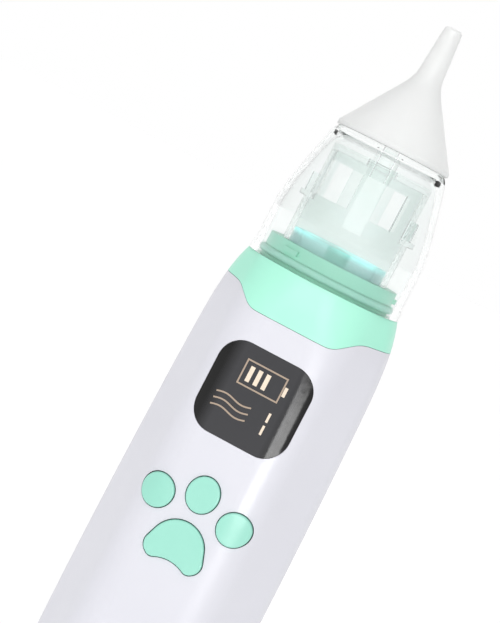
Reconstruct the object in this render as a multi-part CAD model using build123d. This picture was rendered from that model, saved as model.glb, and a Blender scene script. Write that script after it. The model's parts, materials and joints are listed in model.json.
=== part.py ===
from build123d import *
import os
from math import cos, pi, radians, sin, sqrt

# Handheld electric nasal aspirator, standing on its base.
# Millimetres. Origin: centre of the base, +Z up the long axis, buttons and screen face -Y.

# ---------------------------------------------------------------- driving sizes

# body shell
body_height = 125.8
base_height = 6.0
grip_half_width = 22.9
grip_level = 40.0
base_narrowing = 0.9
shoulder_spread = 2.9
shoulder_height = 17.8
collar_step = 0.4
facet_corner_radius = 9.0
top_corner_radius = 15.0
facet_fade_height = 29.8
shell_wall = 1.8
skin_sections = 10
base_edge_radius = 2.6
base_floor = 2.2
base_pad_inset = 6.0
base_pad_width = 4.0
base_pad_seat = 0.4
base_screw_offset = 8.2
pad_stand_out = 0.8
vent_count = 5
vent_pitch = 2.4
vent_length = 7.0
vent_width = 1.2

# collar and neck
collar_front_drop = 11.0
collar_shoulder_drop = 7.2
collar_side_drop = 3.5
collar_front_half_width = 10.2
collar_shoulder_half_width = 15.2
collar_curve_radius = 5.0
collar_top_plate = 1.6
collar_plug_wall = 1.2
collar_plug_depth = 16.5
collar_joint_rise = 0.4
neck_gap = 1.0
neck_rise = 5.6
neck_plate = 1.5
neck_wall = 1.6
neck_flange_width = 6.6
neck_screw_inset = 3.9
neck_screw_angles = (90.0, 195.0, 345.0)
neck_boss_height = 4.6
neck_flange = 1.5
neck_port_bore = 1.6
neck_port_wall = 1.2
neck_port_rise = 3.0
neck_barb_drop = 5.0
lug_width = 4.0
lug_height = 1.1
lug_stand_out = 0.6
lug_rise = 3.8
lug_angles = (0.0, 120.0, 240.0)
seal_radius = 0.9
seal_rise = 1.6

# cup, insert and nozzle
cup_height = 33.6
cup_radius = 18.5
cup_draw_in = 4.6
cup_waist_share = 0.71
cup_waist_step = 2.1
cup_shoulder_drop = 3.2
cup_shoulder_reach = 0.9
cup_rim_step = 0.6
cup_wall = 1.6
cup_lip_height = 2.4
cup_lip_stand_out = 0.35
spout_radius = 7.6
spout_height = 4.2
spout_bore = 2.9
drop_tube_radius = 2.9
drop_tube_bore = 1.7
drop_tube_length = 7.4
rim_slot_width = 5.0
rim_slot_depth = 1.5
rim_slot_reach = 3.2
rim_slot_inset = 1.0
insert_wall = 1.4
insert_ledge_reach = 1.3
insert_ledge_level = 17.1
insert_ledge_thickness = 1.2
insert_top_step = 0.8
insert_top_level = 29.6
insert_sill = 0.2
drop_tube_gap = 0.5
insert_window_height = 8.9
insert_window_sides = (-10.0, -4.4, 3.8, 8.4)
insert_rib_angles = (22.0, 158.0, 202.0, 338.0)
insert_rib_width = 1.2
insert_rib_reach = 1.5
nozzle_height = 30.4
nozzle_tip_radius = 2.1
nozzle_tip_bore = 1.05
nozzle_stem_radius = 2.75
nozzle_stem_level = 23.0
nozzle_cone_height = 13.0
nozzle_cone_radius = 5.9
nozzle_skirt_height = 1.0
nozzle_wall = 1.7
nozzle_socket_room = 0.6

# light ring
light_ring_inset = 4.4
light_ring_width = 2.2
light_ring_height = 4.0
light_groove_depth = 0.8
light_port_radius = 0.7
light_port_count = 6
led_side = 1.6
led_height = 0.8
led_room = 0.9
led_board_thickness = 1.0
led_board_edge = 0.3
led_board_hole = 1.2

# screen
window_level = 97.4
window_width = 22.8
window_height = 21.6
window_corner = 5.8
window_thickness = 1.2
display_width = 18.0
display_height = 17.0
display_inset = 0.9
display_margin = 0.5

# buttons
button_stand_out = 0.7
button_edge_radius = 0.35
button_travel = 0.5
button_flange = 1.0
button_flange_reach = 0.8
toe_side_offset = 9.5
toe_side_level = 70.1
toe_side_radius = 3.85
toe_middle_level = 73.8
toe_middle_width = 7.4
toe_middle_height = 8.3
pad_level = 61.8
pad_lobe_radius = 2.7
pad_lobe_offset = 4.3
pad_lobe_drop = 2.5
pad_crown_radius = 6.3
pad_crown_rise = -1.2
pad_hollow_radius = 8.0
pad_hollow_depth = 1.0
pad_corner_radius = 2.0
post_radius = 1.6
post_lean = 0.9

# electronics
board_front = 11.0
board_thickness = 1.6
board_half_width = 12.6
board_bottom = 50.0
board_top = 110.0
switch_height = 2.5
switch_side = 4.5
switch_key_radius = 1.2
switch_key_height = 1.0
membrane_thickness = 0.8
membrane_half_width = 11.2
dome_rise = 0.25
dome_radius = 2.6
membrane_margin = 5.0
screw_radius = 1.0
screw_head_radius = 1.9
screw_head = 1.2
screw_drive_radius = 0.6
screw_drive_depth = 0.5
screw_tip_gap = 0.4
board_screw_reach = 4.0
board_screw_room = 0.35
board_screw_offset = 10.4
board_screw_levels = (52.4, 83.2)
charge_board_level = 10.4
charge_board_length = 12.0
charge_board_width = 14.0
usb_width = 8.94
usb_height = 3.26
usb_depth = 7.3
usb_wall = 0.3
usb_set_back = 1.0
usb_back_wall = 1.0
usb_tongue_width = 6.6
usb_tongue_height = 0.7
usb_hole_margin = 0.6
charge_board_set_back = 1.4
speaker_radius = 6.5
speaker_thickness = 3.2
speaker_gap = 0.2

# battery, motor and pump
drive_centre = 5.5
battery_radius = 7.0
battery_length = 48.0
battery_bottom = 17.0
battery_cap_radius = 2.6
battery_cap_height = 0.8
battery_edge = 0.6
frame_plate = 1.3
frame_ring_wall = 1.4
frame_low = 9.0
frame_half = 12.0
frame_hoop = 8.0
frame_hoop_inset = 4.0
frame_web = 3.0
frame_foot_depth = 9.0
frame_foot_window = 5.5
frame_foot_rim = 2.5
frame_post_radius = 2.4
motor_radius = 10.0
motor_length = 24.0
motor_bottom = 68.0
motor_shaft_radius = 1.0
motor_can_wall = 1.6
motor_end_bell = 2.0
motor_edge = 1.2
rotor_gap = 0.8
rotor_end_gap = 3.0
shaft_end_gap = 0.2
eccentric_radius = 4.0
eccentric_throw = 0.9
eccentric_gap = 0.6
eccentric_room = 1.0
pump_screw_inset = 3.0
sleeve_wall = 1.2
sleeve_length = 10.0
sleeve_offset = 6.0
sleeve_seat = 1.2
pump_radius = 12.0
pump_base_height = 6.5
pump_crank_room = 5.4
pump_channel_inner = 8.6
pump_rim = 1.5
pump_floor = 1.6
pump_edge = 1.0
pump_valve_room = 1.6
pump_valve_wall = 3.0
diaphragm_thickness = 1.2
diaphragm_edge = 0.2
pump_head_height = 6.0
barb_radius = 2.0
barb_bore = 1.1
barb_height = 4.5
exhaust_barb_height = 2.5
exhaust_x = 6.2
exhaust_y = 2.0
tube_wall = 1.1
silencer_radius = 3.6
silencer_height = 9.0
silencer_seat = 0.2

# ---------------------------------------------------------------- fits and clearances

seam = 0.10
button_gap = 0.25
slide_gap = 0.06
static_gap = 0.05
seal_gap = 0.05
window_gap = 0.08
press_gap = 0.10
insert_gap = 0.20
shell_gap = 0.20
hose_gap = 0.40
thread_bite = 0.02
joint_overlap = 0.30

# ---------------------------------------------------------------- derived sizes and levels

shoulder_level = body_height - shoulder_height
facet_fade_level = body_height - facet_fade_height
collar_top_half_width = cup_radius + collar_step
shoulder_half_width = collar_top_half_width + shoulder_spread
neck_radius = cup_radius - cup_wall - neck_gap
neck_screw_ring = neck_radius - neck_screw_inset
light_ring_radius = neck_radius - light_ring_inset
insert_radius = light_ring_radius + insert_gap + insert_wall
insert_ledge_radius = insert_radius + insert_ledge_reach
insert_top_radius = insert_radius - insert_top_step
cup_top_radius = cup_radius - cup_draw_in
nozzle_skirt_radius = cup_top_radius

cup_bottom = body_height + seam
cup_top = cup_bottom + cup_height
neck_top = body_height + neck_rise
flange_top = body_height - collar_top_plate - static_gap
shelf_top = flange_top - neck_flange
nozzle_bottom = cup_top + seam
nozzle_top = nozzle_bottom + nozzle_height
membrane_front = board_front + static_gap + switch_height + static_gap + membrane_thickness
big = 200.0

os.makedirs("parts", exist_ok=True)


def save(name, shape):
    export_step(shape, "parts/" + name + ".step")


# ---------------------------------------------------------------- the body's skin


def belly(level):
    """Half of the grip's width, widest at the grip level."""
    if level < grip_level:
        return grip_half_width - base_narrowing * ((grip_level - level) / grip_level) ** 2
    rise = (level - grip_level) / (shoulder_level - grip_level)
    return grip_half_width - (grip_half_width - shoulder_half_width) * rise**2


def half_width(level):
    """Half of the body's width, drawn in over the shoulder to the foot of the cup."""
    rise = max(0.0, (level - shoulder_level) / shoulder_height)
    return belly(level) - (belly(body_height) - collar_top_half_width) * rise**2


def corner_radius(level):
    """The facets' corners grow rounder towards the top."""
    fade = max(0.0, (level - facet_fade_level) / (body_height - facet_fade_level))
    return facet_corner_radius + (top_corner_radius - facet_corner_radius) * fade**2


def front_depth(level):
    """Distance from the axis to the flat front facet."""
    corner = corner_radius(level)
    return (half_width(level) + (2 / sqrt(3) - 1) * corner) * cos(pi / 6)


neck_flange_radius = front_depth(flange_top) - shell_wall - seam


def section(level, inset=0.0):
    """Rounded hexagon with a flat facet to the front and one to the back."""
    corner = corner_radius(level) - inset
    reach = half_width(level) - inset + (2 / sqrt(3) - 1) * corner
    outline = RegularPolygon(radius=reach, side_count=6)
    return fillet(outline.vertices(), corner)


def skin(inset=0.0):
    """The body's solid envelope, evenly inset."""
    step = (body_height - base_height) / skin_sections
    levels = [base_height + step * i for i in range(skin_sections + 1)]
    return loft([Pos(0, 0, level) * section(level, inset) for level in levels])


def slab(low, high):
    """A wide slab between two levels."""
    return Pos(0, 0, (low + high) / 2) * Box(big, big, high - low)


def front_side(limit=0.0):
    """Everything in front of y = -limit."""
    return Pos(0, -limit - big / 2, body_height / 2) * Box(big, big, 3 * body_height)


def forward(outline, level, across=0.0, start=0.0, depth=40.0):
    """Extrude an outline, drawn in x and z, towards the front."""
    return Pos(0, -start, 0) * extrude(Plane.XZ * Pos(across, level) * outline, depth)


def tube(outer, inner, low, high):
    """A plain ring or sleeve on the long axis."""
    ring = Circle(outer) - Circle(inner)
    return Pos(0, 0, low) * extrude(ring, high - low)


def rod(radius, low, high, x=0.0, y=0.0):
    """A plain cylinder along Z."""
    return Pos(x, y, low) * extrude(Circle(radius), high - low)


def rod_y(radius, near, far, x, z):
    """A plain cylinder along Y."""
    return Pos(x, far, z) * Rot(90, 0, 0) * extrude(Circle(radius), far - near)


def block(x0, x1, y0, y1, z0, z1):
    """A box from its lowest to its highest corner."""
    return Pos((x0 + x1) / 2, (y0 + y1) / 2, (z0 + z1) / 2) * Box(x1 - x0, y1 - y0, z1 - z0)


outer_skin = skin()
inner_skin = skin(shell_wall)
window_bed = skin(window_thickness)
window_back = skin(window_thickness - window_gap)
plug_outer = skin(shell_wall + static_gap)
plug_inner = skin(shell_wall + static_gap + collar_plug_wall)
plug_root = skin(shell_wall - joint_overlap)
button_top = skin(-button_stand_out)
flange_inner = skin(shell_wall + static_gap + button_flange)

# ---------------------------------------------------------------- outlines


def scallop(offset=0.0):
    """The region under the collar's curved lower edge, lowered by offset."""
    far = big / 2
    points = [
        (-far, body_height - collar_side_drop - offset),
        (-collar_shoulder_half_width, body_height - collar_shoulder_drop - offset),
        (-collar_front_half_width, body_height - collar_front_drop - offset),
        (collar_front_half_width, body_height - collar_front_drop - offset),
        (collar_shoulder_half_width, body_height - collar_shoulder_drop - offset),
        (far, body_height - collar_side_drop - offset),
    ]
    edge = FilletPolyline(*points, radius=collar_curve_radius)
    low = -big / 2
    outline = make_face(Wire(edge.edges() + Polyline(points[-1], (far, low), (-far, low), points[0]).edges()))
    return Pos(0, far, 0) * extrude(Plane.XZ * outline, big)


def toe_outline(name, grow=0.0):
    if name == "toe_middle":
        return Ellipse(toe_middle_width / 2 + grow, toe_middle_height / 2 + grow)
    return Circle(toe_side_radius + grow)


def pad_outline(grow=0.0):
    """Three lobes of a paw's pad, with a shallow hollow in the lower edge."""
    lobe = pad_lobe_radius + grow
    left = Pos(-pad_lobe_offset, -pad_lobe_drop) * Circle(lobe)
    right = Pos(pad_lobe_offset, -pad_lobe_drop) * Circle(lobe)
    crown = Pos(0, pad_crown_rise) * Circle(pad_crown_radius + grow)
    outline = make_hull(left.edges() + right.edges() + crown.edges())
    hollow = pad_hollow_radius - grow
    bottom = -pad_lobe_drop - pad_lobe_radius + pad_hollow_depth
    outline -= Pos(0, bottom - pad_hollow_radius) * Circle(hollow)
    corners = outline.vertices().sort_by(Axis.Y)[:2]
    return fillet(corners, pad_corner_radius)


buttons = {
    "toe_left": (-toe_side_offset, toe_side_level),
    "toe_middle": (0.0, toe_middle_level),
    "toe_right": (toe_side_offset, toe_side_level),
    "pad": (0.0, pad_level),
}


def button_outline(name, grow=0.0):
    if name == "pad":
        return pad_outline(grow)
    return toe_outline(name, grow)


# ---------------------------------------------------------------- shell, collar and base

below_collar = scallop(seam)
above_scallop = slab(0, body_height) - scallop()
above_joint = slab(0, body_height) - scallop(-collar_joint_rise)
plug_high = shelf_top - frame_plate - shell_gap
window_outline = RectangleRounded(window_width, window_height, window_corner)
window_hole = RectangleRounded(window_width + 2 * window_gap, window_height + 2 * window_gap, window_corner)
display_hole = Rectangle(display_width + 2 * display_margin, display_height + 2 * display_margin)

shell = outer_skin - inner_skin
housing = shell & below_collar
housing -= forward(window_hole, window_level) - window_bed
housing -= forward(display_hole, window_level)
for name, (across, level) in buttons.items():
    housing -= forward(button_outline(name, button_gap), level, across)

front = housing & front_side(seam / 2)
boss_tip = board_front + static_gap
boss_root = front_depth(board_screw_levels[0]) - shell_wall / 2
for level in board_screw_levels:
    for side in (-1, 1):
        boss = rod_y(screw_head_radius, -boss_root, -boss_tip, side * board_screw_offset, level)
        pilot = rod_y(screw_radius + static_gap, -boss_root + shell_wall, 0, side * board_screw_offset, level)
        front = (front + (boss & outer_skin)) - pilot
save("housing_front", front)

usb_level = charge_board_level + board_thickness + usb_height / 2
usb_hole = SlotOverall(usb_width + 2 * usb_hole_margin, usb_height + 2 * usb_hole_margin)
back = housing - front_side(-seam / 2)
back -= Pos(0, big / 2, 0) * forward(usb_hole, usb_level, depth=big / 2)
save("housing_back", back)

collar_cut = neck_radius + static_gap
collar = shell & above_scallop
lid = outer_skin & slab(body_height - collar_top_plate, body_height)
plug = (plug_outer - plug_inner) & slab(body_height - collar_plug_depth, plug_high)
root = (plug_root - plug_inner) & slab(0, plug_high) & above_joint
plug = (plug + root) - forward(display_hole, window_level)
collar = (collar + lid + plug) - rod(collar_cut, 0, 2 * body_height)
save("collar", collar)

base_top = base_height - seam
base = Pos(0, 0, pad_stand_out / 2) * extrude(section(base_height), base_top - pad_stand_out / 2)
base = fillet(base.edges().sort_by(Axis.Z)[:12], base_edge_radius)
base_inner = section(base_height, shell_wall)
base -= Pos(0, 0, base_floor) * extrude(base_inner, base_height)
lip_outer = section(base_height, shell_wall + static_gap)
lip_inner = section(base_height, shell_wall + static_gap + collar_plug_wall)
base += Pos(0, 0, base_floor) * extrude(lip_outer - lip_inner, base_height)
pad_ring_radius = grip_half_width - base_pad_inset
pad_ring = Circle(pad_ring_radius) - Circle(pad_ring_radius - base_pad_width)
base -= extrude(pad_ring, pad_stand_out + base_pad_seat)
for side in (-1, 1):
    base -= rod(screw_radius + press_gap, 0, base_height, side * base_screw_offset)
    base -= rod(screw_head_radius + press_gap, 0, pad_stand_out / 2 + screw_head, side * base_screw_offset)
vent = extrude(SlotOverall(vent_length, vent_width, rotation=90), base_height)
for i in range(vent_count):
    base -= Pos((i - (vent_count - 1) / 2) * vent_pitch, -drive_centre, 0) * vent
save("base_cap", base)
save("base_pad", extrude(pad_ring, pad_stand_out + base_pad_seat - static_gap))

# ---------------------------------------------------------------- neck and seal

barb_low = shelf_top - neck_barb_drop
neck = tube(neck_radius, neck_radius - neck_wall, flange_top - neck_flange, neck_top)
neck += tube(neck_flange_radius, neck_flange_radius - neck_flange_width, shelf_top, flange_top)
for angle in neck_screw_angles:
    x = neck_screw_ring * cos(radians(angle))
    y = neck_screw_ring * sin(radians(angle))
    neck += rod(screw_head_radius, shelf_top, shelf_top + neck_boss_height, x, y)
    neck -= rod(screw_radius, shelf_top, shelf_top + neck_boss_height - screw_drive_depth, x, y)
neck += rod(neck_radius - joint_overlap, neck_top - neck_plate, neck_top)
neck += rod(neck_port_bore + neck_port_wall, neck_top - neck_plate, neck_top + neck_port_rise)
neck += rod(barb_radius - static_gap, barb_low, neck_top)
groove_inner = light_ring_radius - light_ring_width
groove_floor = neck_top - light_groove_depth
neck -= tube(light_ring_radius + static_gap, groove_inner - static_gap, groove_floor, neck_top)
seal_centre = cup_radius - cup_wall - seal_gap - seal_radius
seal_level = body_height + seal_rise
seal = Pos(0, 0, seal_level) * Torus(seal_centre, seal_radius)
neck -= Pos(0, 0, seal_level) * Torus(seal_centre, seal_radius + static_gap)
for i in range(light_port_count):
    angle = radians(360 / light_port_count * i)
    reach = light_ring_radius - light_ring_width / 2
    neck -= rod(light_port_radius, shelf_top, neck_top, reach * cos(angle), reach * sin(angle))
neck -= rod(neck_port_bore, neck_top - neck_plate, 2 * body_height)
neck -= rod(barb_bore, 0, neck_top)
lug_level = body_height + lug_rise
lug_reach = neck_radius + lug_stand_out
for angle in lug_angles:
    lug = block(neck_radius - neck_wall / 2, lug_reach, -lug_width / 2, lug_width / 2,
                lug_level - lug_height / 2, lug_level + lug_height / 2)
    neck += Rot(0, 0, angle) * lug
save("neck", neck)
save("cup_seal", seal)

light_ring_low = groove_floor + static_gap
light_ring = tube(light_ring_radius, groove_inner, light_ring_low, light_ring_low + light_ring_height)
save("light_ring", light_ring)

led_board_high = neck_top - neck_plate - static_gap - led_room
led_board = tube(neck_radius - neck_wall - led_board_edge, barb_radius + led_board_hole,
                 led_board_high - led_board_thickness, led_board_high)
led_reach = light_ring_radius - light_ring_width / 2
for i in range(light_port_count):
    led = block(led_reach - led_side / 2, led_reach + led_side / 2, -led_side / 2, led_side / 2,
                led_board_high - static_gap, led_board_high + led_height - static_gap)
    led_board += Rot(0, 0, 360 / light_port_count * i) * led
save("led_board", led_board)

# ---------------------------------------------------------------- cup

cup_inner = cup_radius - cup_wall


def cup_profile(inset=0.0, low=0.0):
    """Half section of the cup's outside, straight at the foot and drawn in to the top."""
    straight = cup_bottom + cup_height / 3
    top = cup_top - inset
    foot = (cup_radius - inset, cup_bottom + low)
    knee = (cup_radius - inset, straight)
    waist = (cup_radius - cup_waist_step - inset, cup_bottom + cup_height * cup_waist_share)
    shoulder = (cup_top_radius + cup_shoulder_reach - inset, cup_top - cup_shoulder_drop - inset * 0.6)
    rim = (cup_top_radius - cup_rim_step - inset, top)
    side = Spline(knee, waist, shoulder, rim, tangents=[(0, 1), (-1, 0.9)])
    outline = Line(foot, knee).edges() + side.edges() + Polyline(rim, (0, top), (0, foot[1]), foot).edges()
    return revolve(Plane.XZ * make_face(Wire(outline)), Axis.Z)


cup = cup_profile() - cup_profile(cup_wall, -1.0)
cup_lip_radius = cup_radius + cup_lip_stand_out
cup += tube(cup_lip_radius, cup_inner + joint_overlap, cup_bottom, cup_bottom + cup_lip_height)
cup += rod(spout_radius, cup_top - cup_wall / 2, cup_top + spout_height)
cup -= rod(spout_bore, cup_top - cup_wall / 2, cup_top + 2 * spout_height)
cup += rod(drop_tube_radius, cup_top - drop_tube_length, cup_top - cup_wall / 2)
cup -= rod(drop_tube_bore, 0, cup_top + 2 * spout_height)
for side in (-1, 1):
    middle = side * (cup_top_radius - rim_slot_inset)
    cup -= block(middle - rim_slot_reach / 2, middle + rim_slot_reach / 2,
                 -rim_slot_width / 2, rim_slot_width / 2, cup_top - rim_slot_depth, cup_top + spout_height)
save("cup", cup)

# ---------------------------------------------------------------- insert

ledge = cup_bottom + insert_ledge_level
insert_top = cup_bottom + insert_top_level
insert_foot = neck_top + static_gap
insert = tube(insert_radius, insert_radius - insert_wall, insert_foot, ledge)
insert += tube(insert_ledge_radius, insert_top_radius - insert_wall, ledge - insert_ledge_thickness, ledge)
insert += tube(insert_top_radius, insert_top_radius - insert_wall, ledge - joint_overlap, insert_top)
insert += tube(insert_top_radius, drop_tube_radius + drop_tube_gap, insert_top - insert_wall, insert_top)
left, mid_left, mid_right, right = insert_window_sides
sill = ledge + insert_sill
lintel = ledge + insert_window_height
insert -= block(left, mid_left, -big, big, sill, lintel)
insert -= block(mid_right, right, -big, big, sill, lintel)
for angle in insert_rib_angles:
    reach = insert_top_radius + insert_rib_reach
    rib = block(insert_top_radius - insert_wall / 2, reach, -insert_rib_width / 2, insert_rib_width / 2,
                ledge - insert_ledge_thickness / 2, ledge + insert_window_height / 2)
    insert += Rot(0, 0, angle) * rib
save("cup_insert", insert)

# ---------------------------------------------------------------- nozzle

def flared(base, low, cone_reach, cone_top, stem_reach, stem_top, tip, high):
    """Solid of revolution: a straight cone that sweeps into a thin, slightly tapered stem."""
    first = (cone_reach, cone_top)
    last = (stem_reach, stem_top)
    bend = (stem_top - cone_top) / 2
    down = (base - cone_reach) / (cone_top - low)
    thin = (stem_reach - tip) / (high - stem_top)
    out_of_cone = (cone_reach - down * bend, cone_top + bend)
    into_stem = (stem_reach + thin * bend, stem_top - bend)
    sweep = Bezier(first, out_of_cone, into_stem, last)
    sides = Line((base, low), first).edges() + sweep.edges() + Line(last, (tip, high)).edges()
    sides = sides + Polyline((tip, high), (0, high), (0, low), (base, low)).edges()
    return revolve(Plane.XZ * make_face(Wire(sides)), Axis.Z)


socket_top = nozzle_bottom + spout_height + nozzle_socket_room
skirt_top = nozzle_bottom + nozzle_skirt_height
cone_top = nozzle_bottom + nozzle_cone_height
stem_level = nozzle_bottom + nozzle_stem_level
nozzle = flared(nozzle_skirt_radius, skirt_top, nozzle_cone_radius, cone_top, nozzle_stem_radius, stem_level,
                nozzle_tip_radius, nozzle_top)
nozzle = fillet(nozzle.edges().sort_by(Axis.Z)[-1:], nozzle_tip_radius - nozzle_tip_bore - shell_gap)
nozzle += rod(nozzle_skirt_radius, nozzle_bottom, skirt_top)
nozzle -= rod(spout_radius + slide_gap, 0, socket_top)
cavity_reach = nozzle_cone_radius - nozzle_wall
cavity = flared(spout_radius + slide_gap, socket_top - joint_overlap, cavity_reach,
                cone_top - nozzle_wall / 3, nozzle_tip_bore + seam, stem_level - nozzle_wall,
                nozzle_tip_bore, nozzle_top + nozzle_wall)
nozzle -= cavity
save("nozzle", nozzle)

# ---------------------------------------------------------------- screen and buttons

window = (forward(window_outline, window_level) & outer_skin) - window_back
save("screen_window", window)
window_edges = (window_level - window_height / 2, window_level + window_height / 2)
display_face = min(front_depth(level) for level in window_edges) - window_thickness - display_inset
display_back = board_front + static_gap
save("display_module", block(-display_width / 2, display_width / 2, -display_face, -display_back,
                             window_level - display_height / 2, window_level + display_height / 2))



def front_rim(face):
    """The edges around a button's front face."""
    fronts = [side for side in face.faces() if side.normal_at(side.center()).Y < -0.7]
    edges = [edge for side in fronts for edge in side.edges()]
    return [edge for edge in edges if sum(edge.center() == other.center() for other in edges) == 1]


stem_end = membrane_front + dome_rise + button_travel + press_gap
for name, (across, level) in buttons.items():
    face = forward(button_outline(name), level, across) & button_top
    face = fillet(front_rim(face), button_edge_radius)
    flange = forward(button_outline(name, button_flange_reach), level, across) & plug_outer
    post = rod_y(post_radius, shell_wall - front_depth(level), -stem_end, across * post_lean, level)
    save("button_" + name, (face + flange) - flange_inner + post)

# ---------------------------------------------------------------- boards behind the front

board = block(-board_half_width, board_half_width, -board_front, board_thickness - board_front,
              board_bottom, board_top)
for level in board_screw_levels:
    for side in (-1, 1):
        board -= rod_y(screw_radius + press_gap, -big, big, side * board_screw_offset, level)
save("main_board", board)

switch_front = board_front + static_gap + switch_height
switches = []
membrane_low = board_screw_levels[0] + screw_head_radius + insert_gap
membrane_high = toe_middle_level + membrane_margin
membrane = block(-membrane_half_width, membrane_half_width, -membrane_front,
                 membrane_thickness - membrane_front, membrane_low, membrane_high)
for name, (across, level) in buttons.items():
    x = across * post_lean
    half = switch_side / 2
    can = block(x - half, x + half, switch_key_height - switch_front, -board_front - static_gap,
                level - half, level + half)
    key = rod_y(switch_key_radius, -switch_front, switch_key_height + joint_overlap - switch_front, x, level)
    switches.append(can + key)
    dome = rod_y(dome_radius, -membrane_front - dome_rise, -membrane_front + static_gap, x, level)
    membrane += dome
save("tact_switches", Compound(children=switches))
save("key_membrane", membrane)

board_screws = []
for level in board_screw_levels:
    for side in (-1, 1):
        x = side * board_screw_offset
        back_face = board_thickness - board_front
        shank = rod_y(screw_radius, -board_front - board_screw_reach, back_face + joint_overlap, x, level)
        head = rod_y(screw_head_radius, back_face + static_gap, back_face + screw_head, x, level)
        slot_floor = back_face + screw_head - screw_drive_depth
        drive = rod_y(screw_drive_radius, slot_floor, back_face + 2 * screw_head, x, level)
        board_screws.append((shank + head) - drive)
save("board_screws", Compound(children=board_screws))

# ---------------------------------------------------------------- inner frame

frame_front = board_thickness - board_front + screw_head + board_screw_room
inner = block(-frame_half, frame_half, frame_front, frame_front + frame_plate, frame_low, shelf_top)
shelf_low = shelf_top - frame_plate
inner += tube(neck_flange_radius - shell_gap, neck_flange_radius - neck_flange_width, shelf_low, shelf_top)
for angle in neck_screw_angles:
    x = neck_screw_ring * cos(radians(angle))
    y = neck_screw_ring * sin(radians(angle))
    inner -= rod(screw_radius + press_gap, shelf_low, shelf_top, x, y)
inner -= front_side(-frame_front) & slab(0, 2 * body_height)
battery_top = battery_bottom + battery_length
hoop_hole = battery_radius + press_gap
web_back = drive_centre - hoop_hole - joint_overlap
for low in (battery_bottom + frame_hoop_inset, battery_top - frame_hoop_inset - frame_hoop):
    hoop = Pos(0, drive_centre, 0) * tube(hoop_hole + frame_ring_wall, hoop_hole, low, low + frame_hoop)
    inner += hoop + block(-frame_web, frame_web, frame_front, web_back, low, low + frame_hoop)
sleeve_outer = motor_radius + sleeve_wall
sleeve_low = motor_bottom + sleeve_offset
sleeve_high = sleeve_low + sleeve_length
seat_high = sleeve_low - static_gap
hoop_outer = sleeve_outer + press_gap + frame_ring_wall
motor_hole = motor_radius + hose_gap
motor_top = motor_bottom + motor_length
inner += Pos(0, drive_centre, 0) * tube(hoop_outer, sleeve_outer + static_gap, sleeve_low, sleeve_high)
inner += Pos(0, drive_centre, 0) * tube(hoop_outer, motor_hole, seat_high - sleeve_seat, seat_high)
inner -= Pos(0, drive_centre, 0) * rod(motor_hole, seat_high - 2 * sleeve_seat, sleeve_high)
inner -= Pos(0, drive_centre, 0) * rod(pump_radius + joint_overlap, motor_top - seam, shelf_low - frame_plate)
foot = block(-frame_half, frame_half, frame_front, frame_foot_depth, frame_low, frame_low + frame_plate)
foot -= block(-frame_foot_window, frame_foot_window, frame_front + frame_foot_rim, big, 0, big)
inner += foot
post_top = frame_low + frame_plate
for side in (-1, 1):
    inner += rod(frame_post_radius, base_floor + press_gap, post_top, side * base_screw_offset)
    inner -= rod(screw_radius - thread_bite, 0, post_top - frame_plate, side * base_screw_offset)
save("inner_frame", inner)

neck_screws = []
for angle in neck_screw_angles:
    x = neck_screw_ring * cos(radians(angle))
    y = neck_screw_ring * sin(radians(angle))
    tip = shelf_top + neck_boss_height - screw_drive_depth - screw_tip_gap
    screw = rod(screw_radius - static_gap, shelf_low - joint_overlap, tip, x, y)
    neck_screws.append(screw + rod(screw_head_radius, shelf_low - screw_head, shelf_low - static_gap, x, y))
save("neck_screws", Compound(children=neck_screws))

# ---------------------------------------------------------------- battery, motor and pump


def drive_rod(radius, low, high, x=0.0, y=0.0):
    """A cylinder placed from the drive's own axis."""
    return rod(radius, low, high, x, drive_centre + y)


def drive_tube(outer, hole, low, high):
    return Pos(0, drive_centre, 0) * tube(outer, hole, low, high)


cell = drive_rod(battery_radius, battery_bottom, battery_top - battery_cap_height)
cell = fillet(cell.edges().filter_by(GeomType.CIRCLE), battery_edge)
cell += drive_rod(battery_cap_radius, battery_top - battery_cap_height - joint_overlap, battery_top)
save("battery_cell", cell)

shaft_hole = motor_shaft_radius + slide_gap
bell_low = motor_bottom + motor_end_bell
bell_high = motor_top - motor_end_bell
can = drive_rod(motor_radius, motor_bottom, motor_top)
can = fillet(can.edges().filter_by(GeomType.CIRCLE), motor_edge)
can -= drive_rod(motor_radius - motor_can_wall, bell_low, bell_high)
can -= drive_rod(shaft_hole, bell_low - motor_end_bell / 2, big)
pump_screw_offset = motor_radius - pump_screw_inset
for side in (-1, 1):
    can -= drive_rod(screw_radius, bell_high, big, side * pump_screw_offset)
save("motor_can", can)

shaft_low = bell_low - motor_end_bell / 2 + shaft_end_gap
eccentric_low = motor_top + eccentric_gap
eccentric_high = motor_top + pump_base_height - eccentric_room
rotor = drive_rod(motor_shaft_radius, shaft_low, eccentric_high)
rotor_radius = motor_radius - motor_can_wall - rotor_gap
rotor += drive_rod(rotor_radius, bell_low + rotor_end_gap, bell_high - rotor_end_gap)
rotor += drive_rod(eccentric_radius, eccentric_low, eccentric_high, eccentric_throw)
save("motor_rotor", rotor)

save("motor_sleeve", drive_tube(sleeve_outer, motor_radius + static_gap, sleeve_low, sleeve_high))

pump_low = motor_top + static_gap
pump_base_top = pump_low + pump_base_height
pump_base = drive_tube(pump_radius, pump_crank_room, pump_low, pump_base_top)
pump_base -= drive_tube(pump_radius - pump_rim, pump_channel_inner, pump_low + pump_floor, pump_base_top)
for side in (-1, 1):
    pump_base -= drive_rod(screw_radius + press_gap, 0, big, side * pump_screw_offset)
    seat_radius = screw_head_radius + press_gap
    pump_base -= drive_rod(seat_radius, pump_low + pump_floor, big, side * pump_screw_offset)
save("pump_base", pump_base)

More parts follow.
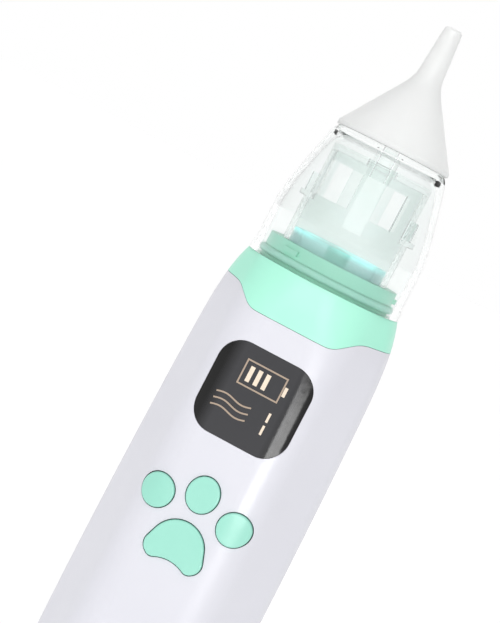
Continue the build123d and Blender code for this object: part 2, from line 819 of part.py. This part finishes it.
pump_screws = []
for side in (-1, 1):
    x = side * pump_screw_offset
    ledge_level = pump_low + pump_floor
    screw = drive_rod(screw_radius - static_gap, bell_high + screw_tip_gap, ledge_level + joint_overlap, x)
    screw += drive_rod(screw_head_radius, ledge_level + static_gap, ledge_level + screw_head, x)
    pump_screws.append(screw)
save("pump_screws", Compound(children=pump_screws))

diaphragm_low = pump_base_top + static_gap
diaphragm_top = diaphragm_low + diaphragm_thickness
diaphragm = drive_rod(pump_radius - diaphragm_edge, diaphragm_low, diaphragm_top)
save("pump_diaphragm", diaphragm)

head_low = diaphragm_top + static_gap
head_top = head_low + pump_head_height
pump_head = drive_rod(pump_radius, head_low, head_top)
pump_head = fillet(pump_head.edges().sort_by(Axis.Z)[-1:], pump_edge)
pump_head -= drive_rod(pump_radius - pump_valve_wall, head_low, head_low + pump_valve_room)
pump_head += rod(barb_radius, head_top - joint_overlap, head_top + barb_height)
pump_head -= rod(barb_bore, head_low, big)
barb_foot = head_top - joint_overlap
pump_head += drive_rod(barb_radius, barb_foot, head_top + exhaust_barb_height, exhaust_x, exhaust_y)
pump_head -= drive_rod(barb_bore, head_low, big, exhaust_x, exhaust_y)
save("pump_head", pump_head)

tube_bore = barb_radius + static_gap
save("suction_tube", tube(tube_bore + tube_wall, tube_bore, head_top + hose_gap, shelf_top - 2 * hose_gap))

silencer = tube(silencer_radius, tube_bore, head_top + silencer_seat, head_top + silencer_height)
silencer = Pos(exhaust_x, drive_centre + exhaust_y, 0) * silencer
save("exhaust_silencer", silencer)

# ---------------------------------------------------------------- charging inlet and speaker

usb_mouth = front_depth(usb_level) - usb_set_back
usb_back = usb_mouth - usb_depth
usb_low = charge_board_level + board_thickness + static_gap
usb_outline = SlotOverall(usb_width, usb_height)
usb_inside = SlotOverall(usb_width - 2 * usb_wall, usb_height - 2 * usb_wall)
usb_shell = extrude(usb_outline - usb_inside, usb_depth)
usb_shell += extrude(usb_outline, usb_back_wall)
usb_shell += extrude(Rectangle(usb_tongue_width, usb_tongue_height), usb_depth - usb_set_back)
socket = Pos(0, usb_back, usb_low + usb_height / 2) * Rot(-90, 0, 0) * usb_shell
save("usb_socket", socket)
board_back = usb_mouth - charge_board_set_back
charge = block(-charge_board_width / 2, charge_board_width / 2, board_back - charge_board_length, board_back,
               charge_board_level, charge_board_level + board_thickness)
save("charge_board", charge)

speaker_low = base_floor + speaker_gap
save("speaker", rod(speaker_radius, speaker_low, speaker_low + speaker_thickness, 0, -drive_centre))

base_screws = []
seat_level = pad_stand_out / 2 + screw_head
for side in (-1, 1):
    x = side * base_screw_offset
    screw = rod(screw_radius - static_gap, seat_level - joint_overlap, frame_low, x)
    screw += rod(screw_head_radius, seat_level - screw_head + press_gap, seat_level - static_gap, x)
    base_screws.append(screw)
save("base_screws", Compound(children=base_screws))
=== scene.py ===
import bpy
import bmesh
import json
from math import cos, pi, radians, sin, sqrt
from mathutils import Matrix, Vector
from mathutils.bvhtree import BVHTree

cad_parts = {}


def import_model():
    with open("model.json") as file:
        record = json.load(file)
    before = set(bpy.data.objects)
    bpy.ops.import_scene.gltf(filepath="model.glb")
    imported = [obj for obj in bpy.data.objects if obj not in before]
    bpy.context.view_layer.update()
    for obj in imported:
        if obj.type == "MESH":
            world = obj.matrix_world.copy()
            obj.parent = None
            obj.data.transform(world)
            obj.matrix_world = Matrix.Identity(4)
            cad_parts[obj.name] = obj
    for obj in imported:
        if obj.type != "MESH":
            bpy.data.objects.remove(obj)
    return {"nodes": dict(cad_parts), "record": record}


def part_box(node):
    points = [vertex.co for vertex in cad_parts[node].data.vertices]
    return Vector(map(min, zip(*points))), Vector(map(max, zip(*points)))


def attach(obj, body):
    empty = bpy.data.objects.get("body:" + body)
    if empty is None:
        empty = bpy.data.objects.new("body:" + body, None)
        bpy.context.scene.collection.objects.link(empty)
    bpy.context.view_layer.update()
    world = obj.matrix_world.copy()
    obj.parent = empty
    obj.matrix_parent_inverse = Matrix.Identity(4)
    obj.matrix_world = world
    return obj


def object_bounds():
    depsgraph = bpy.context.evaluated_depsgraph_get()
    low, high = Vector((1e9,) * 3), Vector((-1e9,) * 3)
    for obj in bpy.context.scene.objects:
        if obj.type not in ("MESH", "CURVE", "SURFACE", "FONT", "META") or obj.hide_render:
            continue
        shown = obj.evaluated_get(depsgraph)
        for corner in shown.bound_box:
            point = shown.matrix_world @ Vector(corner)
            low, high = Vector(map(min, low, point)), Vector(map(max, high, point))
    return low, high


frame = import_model()
cad_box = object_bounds()
nodes = frame["nodes"]
scene = bpy.context.scene

# ---------------------------------------------------------------- view

MM = 0.001
VIEW_AZIMUTH = radians(7.4)
VIEW_ELEVATION = radians(4.5)
VIEW_ROLL = radians(27.2)
VIEW_DISTANCE = 0.45
VIEW_HEIGHT = 0.1414
AIM_LEVEL = 0.6
AIM_SIDE = -0.0112
AIM_RISE = 0.0042
SENSOR = 36.0
CLIP_NEAR = 0.01
CLIP_FAR = 50.0


def place_camera():
    """The device leans to the right in the picture, so the camera is rolled the other way."""
    ahead = Vector((-sin(VIEW_AZIMUTH) * cos(VIEW_ELEVATION), cos(VIEW_AZIMUTH) * cos(VIEW_ELEVATION),
                    -sin(VIEW_ELEVATION)))
    level = Vector((cos(VIEW_AZIMUTH), sin(VIEW_AZIMUTH), 0.0))
    rise = level.cross(ahead)
    across = sin(VIEW_ROLL) * rise + cos(VIEW_ROLL) * level
    up = cos(VIEW_ROLL) * rise - sin(VIEW_ROLL) * level
    aim = Vector((0.0, 0.0, AIM_LEVEL * cad_box[1][2])) + AIM_SIDE * across + AIM_RISE * up
    place = aim - ahead * VIEW_DISTANCE
    data = bpy.data.cameras.new("camera")
    data.sensor_fit = "VERTICAL"
    data.sensor_height = SENSOR
    data.lens = SENSOR * VIEW_DISTANCE / VIEW_HEIGHT
    data.clip_start = CLIP_NEAR
    data.clip_end = CLIP_FAR
    camera = bpy.data.objects.new("camera", data)
    basis = Matrix((across, up, -ahead)).transposed().to_4x4()
    camera.matrix_world = Matrix.Translation(place) @ basis
    scene.collection.objects.link(camera)
    scene.camera = camera


place_camera()

# ---------------------------------------------------------------- shader helpers


class Shader:
    """A material's node tree, built node by node."""

    def __init__(self, name):
        self.material = bpy.data.materials.new(name)
        self.material.use_nodes = True
        self.tree = self.material.node_tree
        self.tree.nodes.clear()
        self.out = self.tree.nodes.new("ShaderNodeOutputMaterial")
        self.main = self.tree.nodes.new("ShaderNodeBsdfPrincipled")
        self.link(self.main.outputs[0], self.out.inputs["Surface"])

    def link(self, source, target):
        self.tree.links.new(source, target)

    def node(self, kind, **settings):
        made = self.tree.nodes.new(kind)
        for key, value in settings.items():
            setattr(made, key, value)
        return made

    def place(self):
        """Object coordinates, in metres."""
        return self.node("ShaderNodeTexCoord").outputs["Object"]

    def noise(self, scale, detail=2.0):
        made = self.node("ShaderNodeTexNoise")
        made.inputs["Scale"].default_value = scale
        made.inputs["Detail"].default_value = detail
        self.link(self.place(), made.inputs["Vector"])
        return made.outputs["Fac"]

    def spread(self, value, low, high, from_low=0.3, from_high=0.7):
        """Map a value, by default the useful middle of a noise, to a new range."""
        made = self.node("ShaderNodeMapRange")
        made.inputs["From Min"].default_value = from_low
        made.inputs["From Max"].default_value = from_high
        made.inputs["To Min"].default_value = low
        made.inputs["To Max"].default_value = high
        self.link(value, made.inputs["Value"])
        return made.outputs["Result"]

    def along(self, axis):
        """How far along one axis of the row frame a point lies, in metres."""
        parts = self.node("ShaderNodeSeparateXYZ")
        self.link(self.place(), parts.inputs[0])
        return parts.outputs[axis]

    def maths(self, operation, first, second=None):
        """One arithmetic step on one or two values."""
        made = self.node("ShaderNodeMath", operation=operation)
        self.link(first, made.inputs[0])
        if second is not None:
            self.link(second, made.inputs[1])
        return made.outputs[0]

    def blend(self, value, first, second):
        """A colour between two, by a value from 0 to 1."""
        made = self.node("ShaderNodeMix", data_type="RGBA")
        made.inputs[6].default_value = (*first, 1.0)
        made.inputs[7].default_value = (*second, 1.0)
        self.link(value, made.inputs[0])
        return made.outputs[2]

    def bump(self, value, height, strength=1.0):
        made = self.node("ShaderNodeBump")
        made.inputs["Strength"].default_value = strength
        made.inputs["Distance"].default_value = height
        self.link(value, made.inputs["Height"])
        self.link(made.outputs["Normal"], self.main.inputs["Normal"])

    def set(self, **values):
        for key, value in values.items():
            self.main.inputs[key.replace("_", " ")].default_value = value

    def tone(self, scale, first, second):
        """A base colour that drifts between two tones."""
        drift = self.spread(self.noise(scale), 0.0, 1.0)
        self.link(self.blend(drift, first, second), self.main.inputs["Base Color"])

    def polish(self, scale, low, high, detail=2.0):
        """A roughness that varies from place to place."""
        self.link(self.spread(self.noise(scale, detail), low, high), self.main.inputs["Roughness"])


def moulded(name, first, second, rough, grain=0.00001, coat=0.0):
    """Moulded plastic: slight tone drift, uneven polish, fine texture."""
    shader = Shader(name)
    shader.tone(60.0, first, second)
    shader.polish(240.0, rough * 0.85, rough * 1.2, 3.0)
    shader.bump(shader.noise(2600.0), grain, 0.4)
    shader.set(Coat_Weight=coat, Coat_Roughness=0.06)
    return shader.material


def clear(name, tint, rough, weight, ior, coat):
    """Clear moulded plastic with faint flow marks."""
    shader = Shader(name)
    shader.tone(90.0, tint, tuple(min(1.0, t * 1.02) for t in tint))
    shader.polish(300.0, rough * 0.7, rough * 1.4)
    shader.set(Transmission_Weight=weight, IOR=ior, Coat_Weight=coat, Coat_Roughness=0.04)
    return shader.material


def silicone(name):
    """Milky, slightly see-through silicone."""
    shader = Shader(name)
    shader.tone(70.0, (0.955, 0.975, 0.96), (0.975, 0.985, 0.975))
    shader.polish(260.0, 0.30, 0.40)
    shader.bump(shader.noise(1800.0), 0.000005, 0.3)
    shader.set(Transmission_Weight=0.2, IOR=1.41, Subsurface_Weight=0.6, Subsurface_Scale=0.003)
    shader.main.inputs["Subsurface Radius"].default_value = (1.0, 1.0, 1.0)
    return shader.material


GLOW_FROM = 1.4 * MM
GLOW_TO = 0.2 * MM


def glowing(name, tint):
    """A lit light guide: clear plastic whose upper edge gives off an uneven glow."""
    shader = Shader(name)
    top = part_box("light_ring")[1][2]
    shader.tone(120.0, (0.9, 1.0, 1.0), (0.85, 0.98, 0.98))
    edge = shader.spread(shader.along("Z"), 0.0, 1.0, top - GLOW_FROM, top - GLOW_TO)
    patchy = shader.spread(shader.noise(110.0), 0.05, 0.35)
    haze = shader.spread(shader.noise(40.0), 0.02, 0.07)
    glow = shader.maths("ADD", shader.maths("MULTIPLY", edge, patchy), haze)
    shader.main.inputs["Emission Color"].default_value = (*tint, 1.0)
    shader.link(glow, shader.main.inputs["Emission Strength"])
    shader.set(Roughness=0.25, Transmission_Weight=0.85, IOR=1.45)
    return shader.material


# Where the painted shade at the black window's left and right edges begins and ends, as fractions of the
# display's half width.
WINDOW_SHADE_START = 0.72
WINDOW_SHADE_END = 1.05


def smoked(name):
    """Polished black window: greyer in the middle and darker towards the left and right edges, as painted shade
    where the window wraps round the facet edges.
    """
    shader = Shader(name)
    low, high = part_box("display_module")
    half = (high[0] - low[0]) / 2
    across = shader.maths("ABSOLUTE", shader.along("X"))
    # Painted shade: the base colour darkens towards the left and right edges of the window.
    side_shade = shader.spread(across, 0.0, 1.0, half * WINDOW_SHADE_START, half * WINDOW_SHADE_END)
    shader.link(shader.blend(side_shade, (0.040, 0.040, 0.044), (0.002, 0.002, 0.002)),
                shader.main.inputs["Base Color"])
    shader.polish(500.0, 0.13, 0.17)
    shader.set(Specular_IOR_Level=0.35)
    return shader.material


def metal(name, tone, rough):
    """Bare metal with a brushed unevenness."""
    shader = Shader(name)
    shader.tone(400.0, tone, tuple(t * 0.85 for t in tone))
    shader.polish(900.0, rough * 0.8, rough * 1.3)
    shader.set(Metallic=1.0)
    return shader.material


looks = {
    "shell_white": moulded("white_shell", (0.70, 0.70, 0.755), (0.715, 0.715, 0.77), 0.34, coat=0.15),
    "mint_plastic": moulded("mint_collar", (0.40, 0.87, 0.68), (0.43, 0.90, 0.71), 0.36, coat=0.1),
    "button_mint": moulded("mint_buttons", (0.31, 0.70, 0.57), (0.34, 0.73, 0.60), 0.36, coat=0.1),
    "clear_plastic": clear("clear_cup", (0.965, 0.99, 0.98), 0.02, 1.0, 1.14, 0.7),
    "clear_insert": clear("clear_insert", (0.94, 0.985, 0.97), 0.08, 0.97, 1.12, 0.5),
    "clear_silicone": silicone("nozzle_silicone"),
    "silicone": moulded("soft_silicone", (0.45, 0.90, 0.74), (0.5, 0.92, 0.77), 0.4),
    "light_guide": glowing("light_guide", (0.25, 0.9, 0.88)),
    "black_window": smoked("black_window"),
    "display": moulded("display_block", (0.02, 0.02, 0.02), (0.03, 0.03, 0.03), 0.5),
    "grey_rubber": moulded("grey_rubber", (0.35, 0.37, 0.38), (0.4, 0.42, 0.43), 0.7, 0.00003),
    "black_rubber": moulded("black_rubber", (0.02, 0.02, 0.02), (0.03, 0.03, 0.03), 0.7, 0.00003),
    "foam": moulded("foam", (0.05, 0.05, 0.05), (0.1, 0.1, 0.1), 0.9, 0.0002),
    "circuit_board": moulded("circuit_board", (0.01, 0.12, 0.05), (0.02, 0.17, 0.07), 0.35, 0.00002),
    "component_black": moulded("components", (0.02, 0.02, 0.02), (0.035, 0.035, 0.035), 0.5),
    "battery_wrap": moulded("battery_wrap", (0.02, 0.09, 0.32), (0.03, 0.12, 0.38), 0.3),
    "frame_plastic": moulded("frame_plastic", (0.62, 0.62, 0.6), (0.68, 0.68, 0.66), 0.45, 0.00002),
    "steel": metal("steel", (0.6, 0.6, 0.61), 0.25),
    "steel_dark": metal("steel_dark", (0.4, 0.4, 0.42), 0.35),
    "screw_steel": metal("screw_steel", (0.5, 0.5, 0.52), 0.3),
}
slot_of = {row["node"]: row["material_slot"] for row in frame["record"]["subparts"]}
for name, node in nodes.items():
    node.data.materials.clear()
    node.data.materials.append(looks[slot_of[name]])

# ---------------------------------------------------------------- lit marks on the screen


def mark_look(name, tint, power):
    """A lit mark: warm light of uneven strength."""
    shader = Shader(name)
    shader.link(shader.blend(shader.spread(shader.noise(900.0), 0.0, 1.0), tint, tuple(t * 0.85 for t in tint)),
                shader.main.inputs["Emission Color"])
    shader.tone(900.0, (0.03, 0.03, 0.03), (0.05, 0.05, 0.05))
    shader.set(Emission_Strength=power, Roughness=0.3)
    return shader.material


def front_of(node):
    """A probe that finds the front surface of a CAD node under a point (x, z)."""
    tree = BVHTree.FromObject(node, bpy.context.evaluated_depsgraph_get())

    def probe(x, z):
        hit = tree.ray_cast(Vector((x, -1.0, z)), Vector((0.0, 1.0, 0.0)))
        return hit[0].y
    return probe


def plate(name, outlines, node, lift, look, body):
    """Thin plates that lie on a CAD node's front, from outlines in (x, z). Each outline is a strip of quads."""
    probe = front_of(node)
    form = bmesh.new()
    for near, far in outlines:
        rows = []
        for (x0, z0), (x1, z1) in zip(near, far):
            y0 = probe(x0, z0)
            y1 = probe(x1, z1)
            corners = ((x0, y0 - lift, z0), (x1, y1 - lift, z1), (x1, y1 + lift, z1), (x0, y0 + lift, z0))
            rows.append([form.verts.new(corner) for corner in corners])
        for first, second in zip(rows, rows[1:]):
            for k in range(4):
                form.faces.new((first[k], first[(k + 1) % 4], second[(k + 1) % 4], second[k]))
        form.faces.new(rows[0][::-1])
        form.faces.new(rows[-1])
    bmesh.ops.recalc_face_normals(form, faces=form.faces)
    mesh = bpy.data.meshes.new(name)
    form.to_mesh(mesh)
    form.free()
    mesh.materials.append(look)
    piece = bpy.data.objects.new(name, mesh)
    scene.collection.objects.link(piece)
    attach(piece, body)


def bar(x0, z0, x1, z1, width, steps=6):
    """A straight stroke as two rows of points."""
    length = sqrt((x1 - x0) ** 2 + (z1 - z0) ** 2)
    nx, nz = -(z1 - z0) / length * width / 2, (x1 - x0) / length * width / 2
    near, far = [], []
    for i in range(steps + 1):
        t = i / steps
        x, z = x0 + (x1 - x0) * t, z0 + (z1 - z0) * t
        near.append((x + nx, z + nz))
        far.append((x - nx, z - nz))
    return near, far


def wave(x0, z0, length, rise, width, steps=28):
    """A gentle wave, drawn as a stroke of even width."""
    near, far = [], []
    for i in range(steps + 1):
        t = i / steps
        x = x0 + length * t
        z = z0 + rise * sin(2 * pi * t)
        slope = rise * 2 * pi / length * cos(2 * pi * t)
        size = sqrt(1 + slope * slope)
        near.append((x - slope / size * width / 2, z + width / size / 2))
        far.append((x + slope / size * width / 2, z - width / size / 2))
    return near, far


MARK_LIFT = 0.03 * MM
STROKE = 0.35 * MM
CELL_LEFT = -4.8 * MM
CELL_RIGHT = 4.9 * MM
CELL_LOW = 1.8 * MM
CELL_HIGH = 7.4 * MM
BAR_START = -3.05 * MM
BAR_PITCH = 1.95 * MM
BAR_WIDTH = 1.0 * MM
BAR_MARGIN = 1.0 * MM
NUB_OFFSET = 0.65 * MM
NUB_MARGIN = 1.7 * MM
NUB_WIDTH = 0.75 * MM
FLOW_LEFT = -8.0 * MM
FLOW_TOP = 1.9 * MM
FLOW_PITCH = 1.55 * MM
FLOW_LENGTH = 8.6 * MM
FLOW_RISE = 0.42 * MM
MARK_COUNT = 3
DIGIT_X = 4.9 * MM
DIGIT_WIDTH = 0.55 * MM
DIGIT_STROKES = ((0.9 * MM, 3.1 * MM), (3.9 * MM, 6.1 * MM))

low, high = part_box("screen_window")
screen_mid = (low[2] + high[2]) / 2
cell_low = screen_mid + CELL_LOW
cell_high = screen_mid + CELL_HIGH
dim_look = mark_look("dim_marks", (0.62, 0.46, 0.33), 0.75)
lit_look = mark_look("lit_marks", (1.0, 0.84, 0.66), 1.0)
window_node = nodes["screen_window"]

outline = [bar(CELL_LEFT, level, CELL_RIGHT, level, STROKE) for level in (cell_low, cell_high)]
for x in (CELL_LEFT, CELL_RIGHT):
    outline.append(bar(x, cell_low - STROKE / 2, x, cell_high + STROKE / 2, STROKE))
plate("battery_outline", outline, window_node, MARK_LIFT, dim_look, "handle")

charge = []
for i in range(MARK_COUNT):
    x = BAR_START + BAR_PITCH * i
    charge.append(bar(x, cell_low + BAR_MARGIN, x, cell_high - BAR_MARGIN, BAR_WIDTH))
x = CELL_RIGHT + NUB_OFFSET
charge.append(bar(x, cell_low + NUB_MARGIN, x, cell_high - NUB_MARGIN, NUB_WIDTH))
plate("battery_bars", charge, window_node, MARK_LIFT, lit_look, "handle")

flow = []
for i in range(MARK_COUNT):
    flow.append(wave(FLOW_LEFT, screen_mid - FLOW_TOP - FLOW_PITCH * i, FLOW_LENGTH, FLOW_RISE, STROKE))
plate("air_flow_mark", flow, window_node, MARK_LIFT, dim_look, "handle")

digit = [bar(DIGIT_X, screen_mid - top, DIGIT_X, screen_mid - end, DIGIT_WIDTH) for top, end in DIGIT_STROKES]
plate("digit_one", digit, window_node, MARK_LIFT, lit_look, "handle")

# ---------------------------------------------------------------- floor and light

FLOOR_REACH = 6.0
SIDE_DIM = 0.45
SIDE_START = 0.35
DEVICE_MIDDLE = (0.0, 0.0, 0.11)
KEY_PLACE = (0.10, -0.9, 0.5)
KEY_SIZE = (0.5, 0.5)
KEY_POWER = 2.2
STRIP_PLACE = (0.215, -0.395, 0.045)
STRIP_AIM = (0.0, 0.0, 0.045)
STRIP_SIZE = (0.24, 0.08)
STRIP_POWER = 0.6


def floor():
    """A wide, plain, pale floor."""
    reach = FLOOR_REACH
    corners = [(-reach, -reach, 0), (reach, -reach, 0), (reach, reach, 0), (-reach, reach, 0)]
    mesh = bpy.data.meshes.new("floor")
    mesh.from_pydata(corners, [], [(0, 1, 2, 3)])
    ground = bpy.data.objects.new("floor", mesh)
    scene.collection.objects.link(ground)
    shader = Shader("floor")
    shader.tone(3.0, (0.93, 0.93, 0.93), (0.95, 0.95, 0.95))
    shader.set(Roughness=0.8, Specular_IOR_Level=0.1, Emission_Strength=0.18)
    shader.main.inputs["Emission Color"].default_value = (1.0, 1.0, 1.0, 1.0)
    mesh.materials.append(shader.material)


def softbox(name, place, aim, size, power, gloss_only=False):
    """A rectangular lamp. One that is gloss-only shows in polished surfaces and lights nothing else."""
    data = bpy.data.lights.new(name, "AREA")
    data.shape = "RECTANGLE"
    data.size, data.size_y = size
    data.energy = power
    lamp = bpy.data.objects.new(name, data)
    away = Vector(place) - Vector(aim)
    lamp.matrix_world = Matrix.Translation(place) @ away.to_track_quat("Z", "Y").to_matrix().to_4x4()
    lamp.visible_diffuse = not gloss_only
    lamp.visible_transmission = False
    scene.collection.objects.link(lamp)


def world():
    """White studio, a little dimmer to the left and right, so that round forms show their shape."""
    made = bpy.data.worlds.new("studio")
    made.use_nodes = True
    tree = made.node_tree
    back = tree.nodes["Background"]
    coords = tree.nodes.new("ShaderNodeTexCoord")
    parts = tree.nodes.new("ShaderNodeSeparateXYZ")
    side = tree.nodes.new("ShaderNodeMath")
    side.operation = "ABSOLUTE"
    spread = tree.nodes.new("ShaderNodeMapRange")
    spread.interpolation_type = "SMOOTHSTEP"
    spread.inputs["From Min"].default_value = SIDE_START
    spread.inputs["From Max"].default_value = 1.0
    spread.inputs["To Min"].default_value = 1.0
    spread.inputs["To Max"].default_value = SIDE_DIM
    tree.links.new(coords.outputs["Generated"], parts.inputs[0])
    tree.links.new(parts.outputs["X"], side.inputs[0])
    tree.links.new(side.outputs[0], spread.inputs["Value"])
    tree.links.new(spread.outputs["Result"], back.inputs["Strength"])
    back.inputs["Color"].default_value = (1.0, 1.0, 1.0, 1.0)
    scene.world = made


floor()
world()
softbox("key", KEY_PLACE, DEVICE_MIDDLE, KEY_SIZE, KEY_POWER)
softbox("strip", STRIP_PLACE, STRIP_AIM, STRIP_SIZE, STRIP_POWER, gloss_only=True)
scene.view_settings.view_transform = "Standard"
